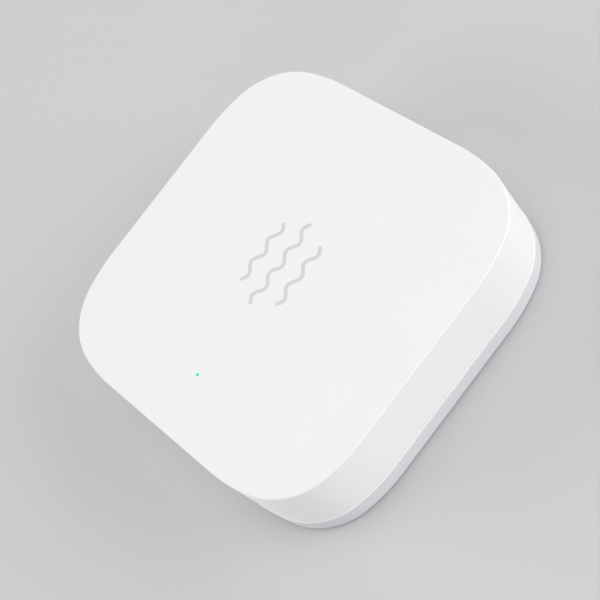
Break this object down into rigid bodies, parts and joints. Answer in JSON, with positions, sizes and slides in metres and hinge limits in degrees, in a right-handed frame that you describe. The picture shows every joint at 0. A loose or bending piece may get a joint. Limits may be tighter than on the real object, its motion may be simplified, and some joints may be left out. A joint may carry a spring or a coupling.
{
  "type": "vibration sensor tag",
  "caption": "Flat square puck with soft corners: white shell with a status lamp and a side button, on a grey clip-on base with an adhesive pad.",
  "frame": {"origin": "middle of the adhesive pad's underside, on the surface that the tag sticks to", "axes": "+Z out of the front face, +Y towards the top of the face, +X to its right; the status lamp is near the -Y edge, the button in the -X wall"},
  "size_m": [0.044, 0.044, 0.0112],
  "materials": {
    "white_shell": "fine satin moulded surface",
    "grey_base": "fine matt moulded surface",
    "adhesive_foam": "closed-cell foam tape",
    "clear_guide": "clear moulded rod",
    "board": "solder mask over glass cloth",
    "tray_black": "black moulded nylon",
    "steel": "nickel plated steel",
    "contact_gold": "gold plated spring strip",
    "gasket": "nylon ring",
    "cell_powder": "pressed powder",
    "button_white": "fine satin moulded surface",
    "switch_black": "moulded switch body",
    "chip_black": "moulded epoxy",
    "lamp_clear": "clear lens on a white base",
    "ceramic_tan": "fired ceramic with tinned ends",
    "copper": "gold plated copper"
  },
  "bodies": {
    "base": {"base_cover": "grey_base", "adhesive_pad": "adhesive_foam"},
    "cell": {"cell_can": "steel", "cell_gasket": "gasket", "cell_cap": "steel", "cell_filling": "cell_powder"},
    "button": {"reset_button": "button_white"},
    "plunger": {"switch_plunger": "switch_black"},
    "housing": {"top_cover": "white_shell", "light_guide": "clear_guide", "circuit_board": "board", "cell_tray": "tray_black", "tray_screws": "steel", "plus_contact": "contact_gold", "minus_contact": "contact_gold", "switch_body": "switch_black", "switch_shell": "steel", "status_lamp": "lamp_clear", "radio_chip": "chip_black", "motion_chip": "chip_black", "memory_chip": "chip_black", "radio_crystal": "steel", "clock_crystal": "steel", "chip_capacitors": "ceramic_tan", "chip_resistors": "chip_black", "chip_coils": "ceramic_tan", "aerial_trace": "copper", "test_pads": "copper"}
  },
  "joints": [
    {"name": "housing_release", "type": "slide", "parent": "base", "child": "housing", "axis": [0, 0, 1], "range_m": [0, 0.016]},
    {"name": "cell_removal", "type": "slide", "parent": "housing", "child": "cell", "axis": [0, 0, -1], "range_m": [0, 0.008]},
    {"name": "button_press", "type": "slide", "parent": "housing", "child": "button", "axis": [1, 0, 0], "range_m": [0, 0.00025], "stiffness_N_per_m": 400},
    {"name": "plunger_press", "type": "slide", "parent": "housing", "child": "plunger", "axis": [1, 0, 0], "range_m": [0, 0.00025]}
  ],
  "couplings": [
    {"joint": "cell_removal", "follows": "housing_release", "ratio": 0.5},
    {"joint": "plunger_press", "follows": "button_press", "ratio": 1}
  ]
}
